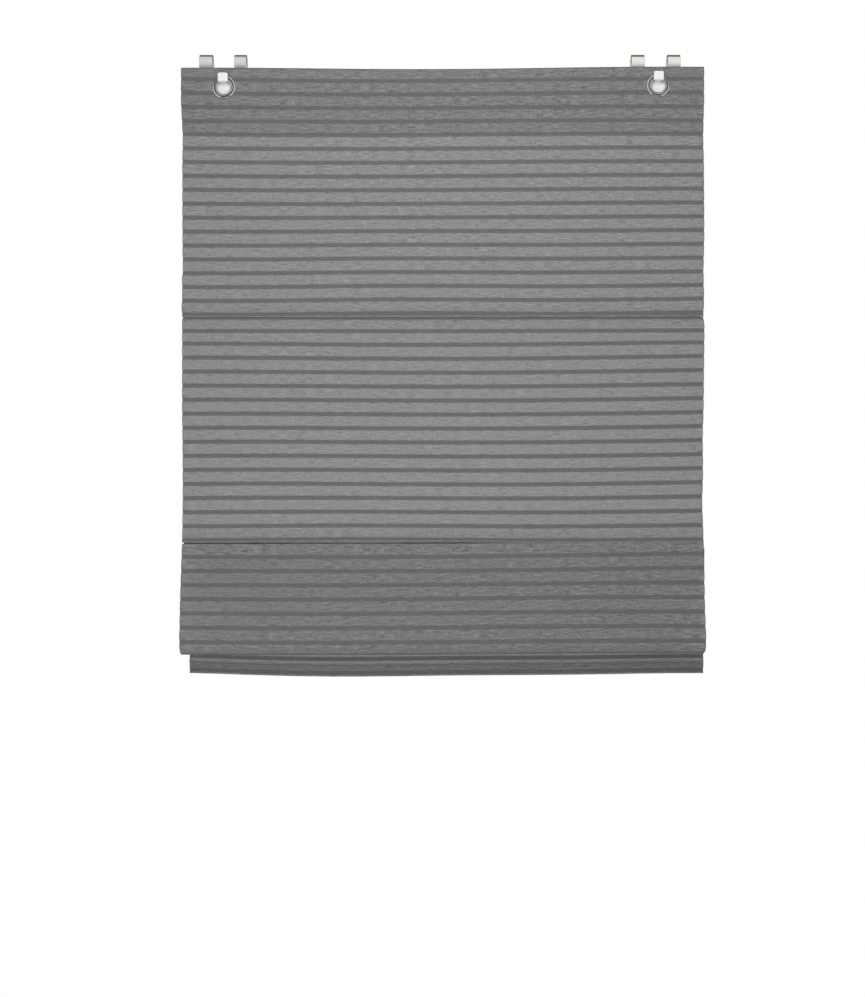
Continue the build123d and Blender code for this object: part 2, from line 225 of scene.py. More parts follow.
# %% The cloth's whole path
tunnel_radius = rod_radius + CLEARANCE + BAND / 2
mouth = SEAM_TURN + LAYER_PITCH / 2
taper_cos, taper_sin = cos_sin(TAPER)
tunnel_side = ((SEAM_TURN + tunnel_radius) * taper_cos - mouth) / taper_sin
tunnel_reach = tunnel_side * taper_cos + (tunnel_radius + SEAM_TURN) * taper_sin


def tunnel(turn_in, turn_out):
    """Out from the seam, round the rod and back to the seam."""
    return [
        turn(SEAM_TURN, turn_in + TAPER),
        straight(tunnel_side),
        turn(tunnel_radius, -(180 + 2 * TAPER)),
        straight(tunnel_side),
        turn(SEAM_TURN, turn_out + TAPER),
    ]


def big_fold():
    """Forward on the small circle, down the crossing line, and round the large circle and up."""
    start = np.array([panel_y - FOLD_START_RADIUS, seam_z["middle"] - mouth])
    axis = np.array([rods["lower"].y - LAYER_PITCH / 2 - FOLD_RADIUS, cad_fold_z + FOLD_RADIUS])
    between = math.dist(start, axis)
    towards = math.degrees(math.atan2(*(start - axis)))
    lean = towards + math.degrees(math.asin((FOLD_RADIUS + FOLD_START_RADIUS) / between))
    rise = seam_z["lower"] - tunnel_reach - axis[1]
    return [
        turn(FOLD_START_RADIUS, -lean),
        straight(math.sqrt(between**2 - (FOLD_RADIUS + FOLD_START_RADIUS) ** 2)),
        turn(FOLD_RADIUS, 180 + lean),
        straight(rise),
    ]


# The lowest point of the big fold's middle layer, measured down from the second seam
FOLD_DROP = 171.2 * MM
cad_fold_z = seam_z["middle"] - FOLD_DROP

crease_cos, crease_sin = cos_sin(CREASE_ANGLE)
crease_run = (channel_pitch - LAYER_PITCH - 2 * CREASE * (1 - crease_cos)) / crease_sin
crease_rise = 2 * CREASE * crease_sin + crease_run * crease_cos
channel_low = strip_low.z - CLEARANCE
bar_low, bar_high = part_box("weight_bar")
bar_turn = (bar_high.z - bar_low.z) / 2 + CLEARANCE + BAND / 2
hem_cos, hem_sin = cos_sin(HEM_LEAN)
hem_run = (bar_turn * (1 + hem_cos) - SEAM_TURN * (1 - hem_cos) - LAYER_PITCH) / hem_sin

stretches = [
    straight(channel_low - crease_rise - (top_z - TOP_HEM)),
    turn(CREASE, -CREASE_ANGLE),
    straight(crease_run),
    turn(CREASE, CREASE_ANGLE),
    straight(strip_high.z - channel_low),
    turn(channel_pitch / 2, 180),
    straight(strip_high.z - seam_z["upper"] - mouth),
    *tunnel(90, 90),
    straight(seam_z["upper"] - seam_z["middle"] - 2 * mouth),
    *tunnel(90, 90),
    *big_fold(),
    *tunnel(0, TAIL_LEAN),
    straight(TAIL_LENGTH),
    turn(bar_turn, 180 + HEM_LEAN),
    straight(hem_run),
    turn(SEAM_TURN, -HEM_LEAN),
    straight(BOTTOM_HEM),
]
# Places in that list: the turn over the top, the first turn of each tunnel, the tail and its hem
TOP_TURN = 5
FIRST_TURNS = (7, 13, 22)
TAIL = 27
HEM_TURN = 28
cloth_line = FoldLine((panel_y + LAYER_PITCH, top_z - TOP_HEM), math.pi / 2, stretches)
stretch_starts = cloth_line.starts
crown = (stretch_starts[TOP_TURN] + stretch_starts[TOP_TURN + 1]) / 2
print("cloth is", round(cloth_line.length, 4), "m long and", 2 * half_width, "m wide")
WALK_POINTS = 20000
walk, _ = cloth_line.at(np.linspace(0, cloth_line.length, WALK_POINTS))
for place, rod in rods.items():
    gap = np.hypot(*(walk - [rod.y, rod.z]).T).min()
    print(place, "rod to the cloth:", round(gap / MM, 2), "mm, wanted", round(tunnel_radius / MM, 2))

# %% [markdown]
# ### Where the stripes lie
#
# The cloth is woven with a dark, thin, smooth stripe and then a thick, slubby band, about
# every 21 mm. It is not quite even: the cloth hangs under its own weight and its tunnels
# take some up. So the stripes are counted, and a short list ties a few counts to the
# distance from the top edge. Everything between is in proportion, and the geometry and the
# finish both use the same count.

# %% Counting stripes along the cloth
STRIPE_REPEAT = 21.2 * MM
STRIPE_WIDTH = 6.4 * MM
STEP = 0.6 * MM
tunnel_take_up = sum(length for length, _ in tunnel(90, 90)) - 2 * mouth
SECOND_PANEL_START = top_z - seam_z["upper"] + tunnel_take_up
THIRD_PANEL_START = top_z - seam_z["middle"] + 2 * tunnel_take_up
# One stripe near the bottom of the fold, and the one just above the bottom hem
FOLD_COUNT = 46
FOLD_STRIPE = THIRD_PANEL_START + 176.8 * MM
TAIL_STRIPE = stretch_starts[HEM_TURN] - crown - 3.6 * MM
tail_count = FOLD_COUNT + round((TAIL_STRIPE - FOLD_STRIPE) / STRIPE_REPEAT)
STRIPE_TIES = [
    # stripe, and its distance from the top edge
    (-6, -106.0 * MM),
    (0, 20.5 * MM),
    (4, 103.3 * MM),
    (8, 187.8 * MM),
    (17, 376.5 * MM),
    (20, SECOND_PANEL_START + 21.5 * MM),
    (21, SECOND_PANEL_START + 43.3 * MM),
    (32, SECOND_PANEL_START + 278.3 * MM),
    (35, SECOND_PANEL_START + 341.6 * MM),
    (38.2, THIRD_PANEL_START - 0.5 * MM),
    (38.8, THIRD_PANEL_START + 16.7 * MM),
    (38.95, THIRD_PANEL_START + 19.8 * MM),
    (45, THIRD_PANEL_START + 152.4 * MM),
    (FOLD_COUNT, FOLD_STRIPE),
    (tail_count, TAIL_STRIPE),
    (tail_count + 3, TAIL_STRIPE + 3 * STRIPE_REPEAT),
]
STRIPE_COUNTS, STRIPE_PLACES = np.array(STRIPE_TIES).T


def count_at(distance):
    """The stripe count at a distance along the path."""
    return np.interp(distance - crown, STRIPE_PLACES, STRIPE_COUNTS)


def place_of(count):
    """The distance along the path of a stripe count."""
    return crown + np.interp(count, STRIPE_COUNTS, STRIPE_PLACES)


def thickness_at(distance):
    """Thin on a stripe, thick on a band, with a ramp one STEP long between them."""
    count = count_at(distance)
    from_stripe = np.abs(count - np.round(count)) * STRIPE_REPEAT
    ramp = np.clip((from_stripe - STRIPE_WIDTH / 2) / STEP + 0.5, 0, 1)
    return STRIPE + (BAND - STRIPE) * ramp


# %% [markdown]
# ## How the cloth hangs
#
# A real sheet is never quite flat and level. Its stripes sag and rise by a few millimetres,
# each part in its own way, and its cut sides wander. Two lists hold what the photograph
# shows. The first gives the sag at some distances from the top edge: a drop, a tilt and
# one long wave. The second gives how far the two sides stand out. The tail has a shift of
# its own and two shallow dips in its bottom edge.
#
# Each list is blended along the cloth. The blend weights are the same for a whole row of
# points, so the sag of every point is one matrix product: weights times profiles. Where
# the cloth goes round a rod it can't sag, so a factor fades the sag out there.

# %% Sag and side lines, in millimetres
SAG_ROWS = (
    # from the top edge, drop at the middle, tilt by the metre, wave height, length, lowest point
    (0, 1.5, -2.2, 1.5, 700, -20),
    (20, 0, 2.4, 2.5, 1000, -120),
    (80, 0, -1.0, 0.9, 800, -120),
    (175, 0, 0, 1.4, 1000, -160),
    (300, 0, -2.5, 0.6, 500, 180),
    (375, 0, -2.5, 0.9, 500, 190),
    (381, 1.1, -1.1, 0.35, 900, 0),
    (442, 0.4, -1.1, 0.35, 900, 0),
    (458, -0.2, -3.0, 1.8, 1000, 20),
    (685, 0, -6.3, 2.0, 1000, 160),
    (760, 0, 0.5, 0.9, 550, 170),
    (782, 0.8, -5.5, 1.1, 950, 0),
    (787, 1.5, -7.0, 1.25, 950, 0),
    (850, 1.1, -6.6, 1.25, 950, 0),
    (868, 0, -2.0, 1.5, 900, -180),
    (930, 0, -1.2, 1.4, 1000, -170),
    (1180, 0, 0, 0, 1000, 0),
    (1390, 1.0, 3.8, 3.2, 1000, -130),
)
SIDE_ROWS = (
    # depth, how far the left side stands out, how far the right side does
    (20, 1.7, 0.3),
    (70, 1.7, 0.3),
    (85, 0.6, -0.4),
    (120, -1.1, -1.2),
    (160, -0.3, 0),
    (270, -0.5, 0.6),
    (320, -1.1, -0.6),
    (335, 0.2, -0.5),
    (362, -0.2, 0.2),
    (375, 0.9, 0),
    (395, -0.4, -0.8),
    (410, 0, 0.9),
    (540, 0, -0.5),
    (580, -0.6, -1.8),
    (640, -1.0, -1.3),
    (680, -0.9, -2.8),
    (720, -0.3, -1.1),
    (760, 0.4, -0.3),
    (830, 0.8, -1.3),
    (890, 0.3, -0.9),
)
SAGS = MM * np.array(SAG_ROWS)
SIDE_DEPTHS, LEFT_OUT, RIGHT_OUT = MM * np.array(SIDE_ROWS).T
TAIL_SHIFT = 4.6 * MM
TAIL_LEFT_IN = 2.0 * MM
RIPPLE_HEIGHT = 1.5 * MM
RIPPLE_LENGTH = 0.42


def blend_weights(keys, at):
    """How much each key counts at each place: 1 on its own, fading to 0 at its neighbours."""
    return np.stack([np.interp(at, keys, one) for one in np.eye(len(keys))], -1)


def sag_profiles(x):
    """drop + tilt * x + height * (cos(2 pi (x - low) / length) - cos(2 pi low / length)), by key."""
    _, drop, tilt, height, length, low = SAGS.T[..., None]
    wave = np.cos(2 * np.pi * (x - low) / length) - np.cos(2 * np.pi * low / length)
    return drop + tilt * x + height * wave


# The sag fades out on the way to a rod and comes back after it
HELD = np.concatenate([stretch_starts[first + 1 : first + 5] for first in FIRST_TURNS])
FREE = np.tile([1, 0, 0, 1], len(FIRST_TURNS))
tail_from, tail_to = stretch_starts[TAIL - 1], stretch_starts[TAIL]


def ripple(x):
    """Two shallow dips in the bottom edge: height * (1 - cos(2 pi x / length)) / 2."""
    return RIPPLE_HEIGHT * (1 - np.cos(2 * np.pi * x / RIPPLE_LENGTH)) / 2


def sway(x, distance, z):
    """How far each point (row, column) stands to the right, and how far it sags."""
    from_edge = np.abs(distance - crown)
    free = np.interp(distance, HELD, FREE)
    tail = np.interp(distance, [tail_from, tail_to], [0, 1])[:, None]
    sag = blend_weights(SAGS[:, 0], from_edge) @ sag_profiles(x) * free[:, None]
    outs = [np.interp(-z, SIDE_DEPTHS, out)[:, None] for out in (LEFT_OUT, RIGHT_OUT)]
    out_left, out_right = (out * (1 - tail) for out in outs)
    across = (x / half_width + 1) / 2
    in_tail = TAIL_SHIFT + TAIL_LEFT_IN * (1 - across)
    return out_right * across - out_left * (1 - across) + tail * in_tail, sag + tail * ripple(x)


def hang(x, distance):
    """Points (rows, columns, 3) of the hanging cloth's middle layer, and each row's heading."""
    spots, heading = cloth_line.at(distance)
    y, z = spots.T[..., None]
    drift, sag = sway(x, distance, z[:, 0])
    return side_by_side(x + drift, y, z - sag), heading


# %% [markdown]
# ## The cloth as a closed shell
#
# The grid has a row wherever something happens along the path: on both sides of every
# stripe's edge, so that the raised bands are real steps, and every few degrees round a
# turn. Columns are far apart on plain cloth and close together near the eyelets, where a
# round hole has to be cut.
#
# The hole is cut in the grid: faces with a corner inside it are left out, and the points
# round the gap move straight out or in until they lie on the circle. The flange of the
# eyelet covers the slightly stretched faces there.
#
# Two copies of the grid, half the thickness to each side along the normal, make the
# outside and the inside, with a thickness of its own for each row. An edge that only one
# face uses is at a border, and gets one more face that joins the two layers.

# %% Rows and columns
DEGREES_PER_ROW = 13
LEAST_STEP = 0.25 * MM
ALL_STRIPES = np.arange(-8, 74)
ROWS_IN_BAND = np.array([-0.3, 0.3, 0.5])
stripe_rows = ALL_STRIPES[:, None] + ROWS_IN_BAND[None, :]
edge_rows = np.array([-1, 1])[:, None] * (STRIPE_WIDTH + STEP * np.array([-1, 1])) / 2
stripe_edges = place_of(ALL_STRIPES)[:, None] + edge_rows.reshape(1, -1)
turn_rows = []
for i, angle in enumerate(cloth_line.turns):
    if angle:
        row_count = 1 + math.ceil(abs(math.degrees(angle)) / DEGREES_PER_ROW)
        turn_rows.append(np.linspace(stretch_starts[i], stretch_starts[i + 1], row_count))
row_list = [place_of(stripe_rows).ravel(), stripe_edges.ravel(), *turn_rows, stretch_starts]
rows = np.unique(np.clip(np.concatenate(row_list), 0, cloth_line.length))
rows = rows[np.concatenate([[True], np.diff(rows) > LEAST_STEP])]

eyelet_middles = {end: middle_of(f"{end}_eyelet") for end in SIDES}
NEAR_EYELET = np.arange(-6, 7) * 2.8 * MM
EDGE_COLUMNS = np.array([0, 1.2, 6]) * MM
PLAIN_COLUMNS = 29
LEAST_WIDTH = 1 * MM
column_list = [np.linspace(-half_width, half_width, PLAIN_COLUMNS)]
column_list += [half_width - EDGE_COLUMNS, EDGE_COLUMNS - half_width]
column_list += [middle.x + NEAR_EYELET for middle in eyelet_middles.values()]
columns = np.unique(np.round(np.concatenate(column_list), 6))
columns = columns[np.concatenate([[True], np.diff(columns) > LEAST_WIDTH])]
print("cloth grid:", len(rows), "rows by", len(columns), "columns")

# %% The cloth
HOLE_RADIUS = 11.7 * MM
NOTCH = 0.5 * MM


def cut_holes(points, faces):
    """Leaves out faces with a corner inside a hole, and pulls the points round the gap onto it."""
    flat = points.reshape(-1, 3)
    for middle in eyelet_middles.values():
        out = flat[:, [0, 2]] - [middle.x, middle.z]
        far = np.hypot(*out.T)
        lost = (far < HOLE_RADIUS)[faces].any(1)
        rim = np.setdiff1d(faces[lost], np.nonzero(far < HOLE_RADIUS)[0])
        flat[rim[:, None], [0, 2]] = [middle.x, middle.z] + out[rim] * (HOLE_RADIUS / far[rim])[:, None]
        faces = faces[~lost]
    return flat, faces


def shell(middle, normals, thickness, faces):
    """Two layers half a thickness from the middle one, joined round every border."""
    count = len(middle)
    outside = middle + normals * thickness[:, None] / 2
    inside = middle - normals * thickness[:, None] / 2
    starts, ends = faces, np.roll(faces, -1, 1)
    key, back = (starts * count + ends).ravel(), (ends * count + starts).ravel()
    border = ~np.isin(key, back)
    a, b = starts.ravel()[border], ends.ravel()[border]
    rim = np.stack([b, a, a + count, b + count], 1)
    return np.concatenate([outside, inside]), np.concatenate([faces, faces[:, ::-1] + count, rim])


def without_loose(points, faces, *more):
    """Drops the points that no face uses, and renumbers the rest."""
    used, new = np.unique(faces, return_inverse=True)
    return (points[used], new.reshape(faces.shape), *(values[used] for values in more))


points, _ = hang(columns, rows)
in_stripe = 1 - (thickness_at(rows) - STRIPE) / (BAND - STRIPE)
points[:, [0, -1], 0] += np.array([1, -1]) * NOTCH * in_stripe[:, None]
along_path = np.gradient(points, axis=0)
across_width = np.gradient(points, axis=1)
normals = np.cross(across_width, along_path).reshape(-1, 3)
normals /= -np.linalg.norm(normals, axis=1)[:, None]
middle, faces = cut_holes(points, grid_faces(len(rows), len(columns)))
weave = np.stack(np.meshgrid(columns, count_at(rows)), -1).reshape(-1, 2)
thickness = np.repeat(thickness_at(rows), len(columns))
cloth_points, cloth_faces = shell(middle, normals, thickness, faces)
weave_points = np.concatenate([weave, weave])
cloth_points, cloth_faces, weave_points = without_loose(cloth_points, cloth_faces, weave_points)
cloth = new_piece("cloth", cloth_points, cloth_faces, ["fabric_panel"], weave_points)
print("cloth faces:", len(cloth_faces))

# %% [markdown]
# ## What lies in the hems
#
# The stiffener and the weight bar are straight when they are made, but they lie in the hems
# and follow them. So each is a section carried across the blind, and every column of points
# gets the sway that the cloth has around it.

# %% Stiffener and weight bar
CARRIED_COLUMNS = 61
BAR_SIDES = 24


def carried(name, section, node, distance):
    """A closed section (y, z) carried from side to side, swaying like the cloth at one distance."""
    low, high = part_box(node)
    x = np.linspace(low.x, high.x, CARRIED_COLUMNS)
    drift, sag = sway(x, np.array([distance]), np.array([section[:, 1].mean()]))
    z = section[:, 1] - sag[0][:, None]
    points = side_by_side((x + drift[0])[:, None], section[:, 0], z).reshape(-1, 3)
    count = len(section)
    faces = grid_faces(len(x), count, around=True).tolist()
    faces += [list(range(count))[::-1], list(range(len(points) - count, len(points)))]
    print(name, "sags by", (sag[0] / MM).round(1)[::15], "mm")
    return new_piece(name, points, faces, [node])


ring = np.linspace(0, 2 * np.pi, BAR_SIDES, endpoint=False)
bar_middle, bar_radius = middle_of("weight_bar"), (bar_high.z - bar_low.z) / 2
bar_y = bar_middle.y + bar_radius * np.cos(ring)
bar_z = bar_middle.z + bar_radius * np.sin(ring)
bar_section = np.stack([bar_y, bar_z], -1)
bar_place = (stretch_starts[HEM_TURN] + stretch_starts[HEM_TURN + 1]) / 2
weight_bar = carried("bent_weight_bar", bar_section, "weight_bar", bar_place)
strip_y, strip_z = [strip_low.y, strip_high.y], [strip_low.z, strip_high.z]
strip_section = np.array([(strip_y[i], strip_z[j]) for i, j in ((0, 0), (1, 0), (1, 1), (0, 1))])
strip_place = crown + (top_z - strip_section[:, 1].mean())
stiffener = carried("bent_stiffener", strip_section, "top_stiffener", strip_place)

# %% [markdown]
# ## Stitches
#
# Straight rows of machine stitches close the hems and the necks of the tunnels. A stitch is
# a short piece of thread that dips into the cloth at both ends. Every stitch gets the same
# few faces: a point, two rings of six and another point, placed for all stitches at once.

# %% Rows of stitches
STITCH = 2.7 * MM
STITCH_PITCH = 3.2 * MM
THREAD = 0.26 * MM
SIDE_MARGIN = 4 * MM
TOP_HEM_ROW = 101.3 * MM
NECK = 1.3 * MM
FLAP_MIDDLE = 3.0 * MM
FRONT, REAR = 1, -1
# Along the stitch and out of the cloth, the second as parts of the thread's radius
STITCH_STEPS = np.array([0, 0.14, 0.86, 1])
STITCH_LIFTS = np.array([-1.2, 0.35, 0.35, -1.2])
THREAD_SIDES = 6
POINTS_EACH = 2 * THREAD_SIDES + 2


def row_of_stitches(distance, side):
    """Points (stitches, POINTS_EACH, 3) of one row, on the outer (1) or inner (-1) side."""
    starts = np.arange(-half_width + SIDE_MARGIN, half_width - SIDE_MARGIN - STITCH, STITCH_PITCH)
    x = (starts[:, None] + STITCH * STITCH_STEPS).ravel()
    line, heading = hang(x, np.array([distance]))
    line = line[0].reshape(-1, len(STITCH_STEPS), 3)
    normal = side * np.array([0, math.sin(heading[0]), -math.cos(heading[0])])
    along = side * np.array([0, math.cos(heading[0]), math.sin(heading[0])])
    lift = thickness_at(np.array([distance]))[0] / 2 + THREAD * STITCH_LIFTS
    line = line + lift[:, None] * normal
    hexagon = np.arange(THREAD_SIDES) * np.pi / (THREAD_SIDES / 2)
    ring = THREAD * (np.cos(hexagon)[:, None] * along + np.sin(hexagon)[:, None] * normal)
    rings = [line[:, 1, None] + ring, line[:, 2, None] + ring]
    return np.concatenate([line[:, :1], *rings, line[:, 3:]], 1)


neck_rows = [stretch_starts[first + 1] + NECK for first in FIRST_TURNS]
neck_rows += [stretch_starts[first + 4] - NECK for first in FIRST_TURNS]
flap_row = cloth_line.length - FLAP_MIDDLE
flap_z = cloth_line.at(np.array([flap_row]))[0][0, 1]
tail_row = tail_from + (cloth_line.points[TAIL][1] - flap_z) / math.cos(math.radians(TAIL_LEAN))
hem_rows = [crown + TOP_HEM_ROW, crown - TOP_HEM_ROW, flap_row, tail_row]
stitch_rows = [(row, FRONT) for row in hem_rows] + [(row, REAR) for row in neck_rows]
stitches = np.concatenate([row_of_stitches(distance, side) for distance, side in stitch_rows])

# Numbers within one stitch: the first point, the two rings and the last point
near_ring = 1 + np.arange(THREAD_SIDES)
near_beside = np.roll(near_ring, -1)
far_ring, far_beside = near_ring + THREAD_SIDES, near_beside + THREAD_SIDES
first_end = np.stack([np.zeros(THREAD_SIDES, int), near_beside, near_ring], -1)
other_end = np.stack([np.full(THREAD_SIDES, POINTS_EACH - 1), far_ring, far_beside], -1)
body = np.stack([near_ring, near_beside, far_beside, far_ring], -1)
offsets = np.arange(len(stitches))[:, None, None] * POINTS_EACH
ends = (np.concatenate([first_end, other_end]) + offsets).reshape(-1, 3).tolist()
bodies = (body + offsets).reshape(-1, 4).tolist()
thread = new_piece("stitches", stitches.reshape(-1, 3), ends + bodies)
print(len(stitches), "stitches,", len(ends) + len(bodies), "faces")

# %% [markdown]
# ## Shader maths as formulas
#
# A pattern is arithmetic on sockets. Two functions make any node from its type, its
# settings and what its inputs get. The first class wraps a socket, so that a sum or a
# product written in Python becomes Math nodes, and the second class is one finish.

# %% Signals and finishes
def feed(tree, socket, value):
    """Links another socket into this one, or sets a constant."""
    value = getattr(value, "socket", value)
    if isinstance(value, bpy.types.NodeSocket):
        tree.links.new(value, socket)
    else:
        socket.default_value = value


def add_node(tree, kind, settings, inputs, output=0):
    """One output of a new node, given its settings and what its inputs get."""
    made = tree.nodes.new(kind)
    for setting, value in settings.items():
        setattr(made, setting, value)
    for socket, value in inputs.items():
        feed(tree, made.inputs[socket], value)
    return made.outputs[output]


class Signal:
    """An output socket that can be added, multiplied and so on."""

    def __init__(self, finish, socket):
        self.finish = finish
        self.socket = socket

    def math(self, operation, *values):
        return self.finish.node("ShaderNodeMath", {"operation": operation}, dict(enumerate(values)))

    def __add__(self, other):
        return self.math("ADD", self, other)

    def __radd__(self, other):
        return self.math("ADD", other, self)

    def __sub__(self, other):
        return self.math("SUBTRACT", self, other)

    def __mul__(self, other):
        return self.math("MULTIPLY", self, other)

    def __truediv__(self, other):
        return self.math("DIVIDE", self, other)


class Finish:
    """A material with one Principled shader, and helpers that add nodes to it."""

    def __init__(self, name, **constants):
        self.material = bpy.data.materials.new(name)
        self.material.use_nodes = True
        self.tree = self.material.node_tree
        self.tree.nodes.clear()
        self.skin = self.tree.nodes.new("ShaderNodeBsdfPrincipled")
        for socket, value in constants.items():
            self.skin.inputs[socket.replace("_", " ")].default_value = value
        self.end = self.tree.nodes.new("ShaderNodeOutputMaterial")
        self.surface_gets(self.skin.outputs[0])

    def surface_gets(self, value):
        feed(self.tree, self.end.inputs["Surface"], value)

    def skin_gets(self, socket, value):
        feed(self.tree, self.skin.inputs[socket], value)

    def node(self, *making):
        return Signal(self, add_node(self.tree, *making))

    def coordinates(self):
        """Object coordinates as three numbers, in millimetres."""
        return self.parts(self.node("ShaderNodeTexCoord", {}, {}, "Object"), 1000)

    def woven(self):
        """The weave map: metres across as millimetres, and the stripe count."""
        across, count, _ = self.parts(self.node("ShaderNodeUVMap", {"uv_map": "weave"}, {}), 1)
        return across * 1000, count

    def parts(self, vector, scale):
        split = [self.node("ShaderNodeSeparateXYZ", {}, {0: vector}, axis) for axis in "XYZ"]
        return [part * scale for part in split] if scale != 1 else split

    def noise(self, x, y, z, detail=2.0, roughness=0.5):
        """Cloudy noise from 0 to 1 at a place, with a size of about 1."""
        place = self.node("ShaderNodeCombineXYZ", {}, {0: x, 1: y, 2: z})
        inputs = {"Vector": place, "Scale": 1.0, "Detail": detail, "Roughness": roughness}
        return self.node("ShaderNodeTexNoise", {}, inputs)

    def ramp(self, value, low, high, to_low=0.0, to_high=1.0):
        """A smooth step from to_low at low to to_high at high."""
        inputs = {"Value": value, "From Min": low, "From Max": high, "To Min": to_low, "To Max": to_high}
        return self.node("ShaderNodeMapRange", {"interpolation_type": "SMOOTHSTEP"}, inputs)

    def mix(self, factor, first, second):
        return self.node("ShaderNodeMix", {"data_type": "RGBA"}, {0: factor, 6: first, 7: second}, 2)

    def shade(self, colour, factor):
        """A colour made darker or lighter by a number."""
        grey = self.node("ShaderNodeCombineXYZ", {}, {0: factor, 1: factor, 2: factor})
        first = colour if isinstance(colour, Signal) else colour[:3]
        return self.node("ShaderNodeVectorMath", {"operation": "MULTIPLY"}, {0: first, 1: grey})

    def bump(self, height, distance, strength=1.0):
        inputs = {"Height": height, "Distance": distance, "Strength": strength}
        self.skin_gets("Normal", self.node("ShaderNodeBump", {}, inputs))

    def put_on(self, *pieces):
        for piece in pieces:
            piece.data.materials.clear()
            piece.data.materials.append(self.material)


# %% [markdown]
# ## The finish of the cloth
#
# Up close the bands are made of slubby yarn that lies across the blind. Each yarn gets
# lighter and darker along its length, which makes short streaks, and here and there a
# fleck stands out. The stripes are a smooth, tight weave and darker.
#
# The cloth is thin enough for some light to come through, more through the open bands than
# through the tight stripes. So a Translucent shader is mixed in, and the weave sets how
# much. The stripes' edges wander a little, as woven ones do.

# %% Cloth
BAND_COLOUR = (0.254, 0.255, 0.256, 1)
STRIPE_COLOUR = (0.153, 0.153, 0.154, 1)
REPEAT_MM = STRIPE_REPEAT / MM
HALF_STRIPE_MM = STRIPE_WIDTH / MM / 2
SOFT_EDGE_MM = 0.7
RIB_MM = 0.75
GRAIN_IN_STRIPE = 0.3
FLECK_TONE = 0.34
PATCH_TONE = 0.1
# How dark the painted shade along the cut sides gets
SIDE_SHADE = 0.72
THROUGH_STRIPE = 0.1
THROUGH_BAND = 0.27


def cloth_finish():
    """The woven finish. Noise gets sizes in millimetres, across the blind and along the weave."""
    cloth = Finish("banded_cloth", Roughness=0.85, Specular_IOR_Level=0.25)
    x, count = cloth.woven()
    y = count * REPEAT_MM
    wander = (cloth.noise(x / 9.0, y / 4.0, 3.0) - 0.5) * 1.2
    from_stripe = count.math("PINGPONG", count + 100.0, 0.5) * REPEAT_MM + wander
    band = cloth.ramp(from_stripe, HALF_STRIPE_MM - SOFT_EDGE_MM, HALF_STRIPE_MM + SOFT_EDGE_MM)
    streak = cloth.noise(x / 14.0, y / 2.0, 0.0, 2.0, 0.6) - 0.5
    short = cloth.noise(x / 3.6, y / 1.8, 5.0, 1.0) - 0.5
    grain = streak * 1.9 + short * 1.3
    fleck = cloth.noise(x / 3.2, y / 1.8, 7.0, 1.0)
    cluster = cloth.ramp(cloth.noise(x / 26.0, y / 10.0, 13.0), 0.35, 0.65)
    light_fleck = cloth.ramp(fleck, 0.60, 0.72) * cluster
    dark_fleck = cloth.ramp(fleck, 0.40, 0.28) * cluster
    patch = cloth.noise(x / 60.0, y / 25.0, 11.0) - 0.5
    # Painted shade along the cut sides: the colour darkens over the last 1.6 mm before each side, as the
    # edge's shade
    from_middle = x.math("ABSOLUTE", x)
    side_mm = half_width / MM
    edge = cloth.ramp(from_middle, side_mm - 1.6, side_mm - 0.6, 1.0, SIDE_SHADE)
    tone = 1.0 + grain * (GRAIN_IN_STRIPE + band * (1 - GRAIN_IN_STRIPE))
    tone = tone + (light_fleck - dark_fleck) * band * FLECK_TONE + patch * PATCH_TONE
    colour = cloth.shade(cloth.mix(band, STRIPE_COLOUR, BAND_COLOUR), tone * edge)
    cloth.skin_gets("Base Color", colour)
    rib = y.math("SINE", y * (2 * math.pi / RIB_MM))
    cloth.bump(grain * (0.2 + band) * 0.5 + rib * 0.12 + light_fleck * band * 0.4, 0.35 * MM)
    through = cloth.node("ShaderNodeBsdfTranslucent", {}, {"Color": (0.85, 0.85, 0.85, 1)})
    share = THROUGH_STRIPE + band * (THROUGH_BAND - THROUGH_STRIPE)
    inputs = {0: share, 1: cloth.skin.outputs[0], 2: through}
    cloth.surface_gets(cloth.node("ShaderNodeMixShader", {}, inputs))
    return cloth


cloth_finish().put_on(cloth)

# %% [markdown]
# ## Eyelets and their washers
#
# An eyelet is one disc of metal, pressed into a flange with two rounded ridges and a barrel
# that goes through the cloth. Behind the cloth the barrel is curled over a washer. It is
# round all the way, so its section is carried once round the axis: a closed line of
# points (radius, height) and a ring of angles give every point of the surface at once.

# %% Turned pieces
AROUND = 128


def rounded(points, radii, steps=6):
    """A closed outline with each corner replaced by a circular arc of its own radius."""
    points = np.asarray(points, float)
    outline = []
    for i, radius in enumerate(radii):
        corner = points[i]
        before, after = points[i - 1] - corner, points[(i + 1) % len(points)] - corner
        before, after = before / np.hypot(*before), after / np.hypot(*after)
        half = math.acos(np.clip(before @ after, -1, 1)) / 2
        reach = radius / math.tan(half)
        centre = corner + (before + after) / np.hypot(*(before + after)) * radius / math.sin(half)
        first, last = corner + before * reach - centre, corner + after * reach - centre
        t = np.linspace(0, 1, steps)[:, None]
        arc = first * (1 - t) + last * t
        outline.append(centre + arc / np.hypot(*arc.T)[:, None] * radius if radius else corner[None])
    return np.concatenate(outline)


def turned(name, outline, middle, slot, stands_for):
    """A closed outline (radius, y) carried round the axis that runs along Y through middle."""
    angles = np.linspace(0, 2 * np.pi, AROUND, endpoint=False)
    radius, y = outline.T
    x = middle.x + radius[:, None] * np.cos(angles)
    z = middle.z + radius[:, None] * np.sin(angles)
    points = side_by_side(x, y[:, None], z)
    closed = np.concatenate([points, points[:1]]).reshape(-1, 3)
    faces = grid_faces(len(y) + 1, AROUND, around=True) % (len(y) * AROUND)
    return new_piece(name, closed[: len(y) * AROUND], faces, stands_for)


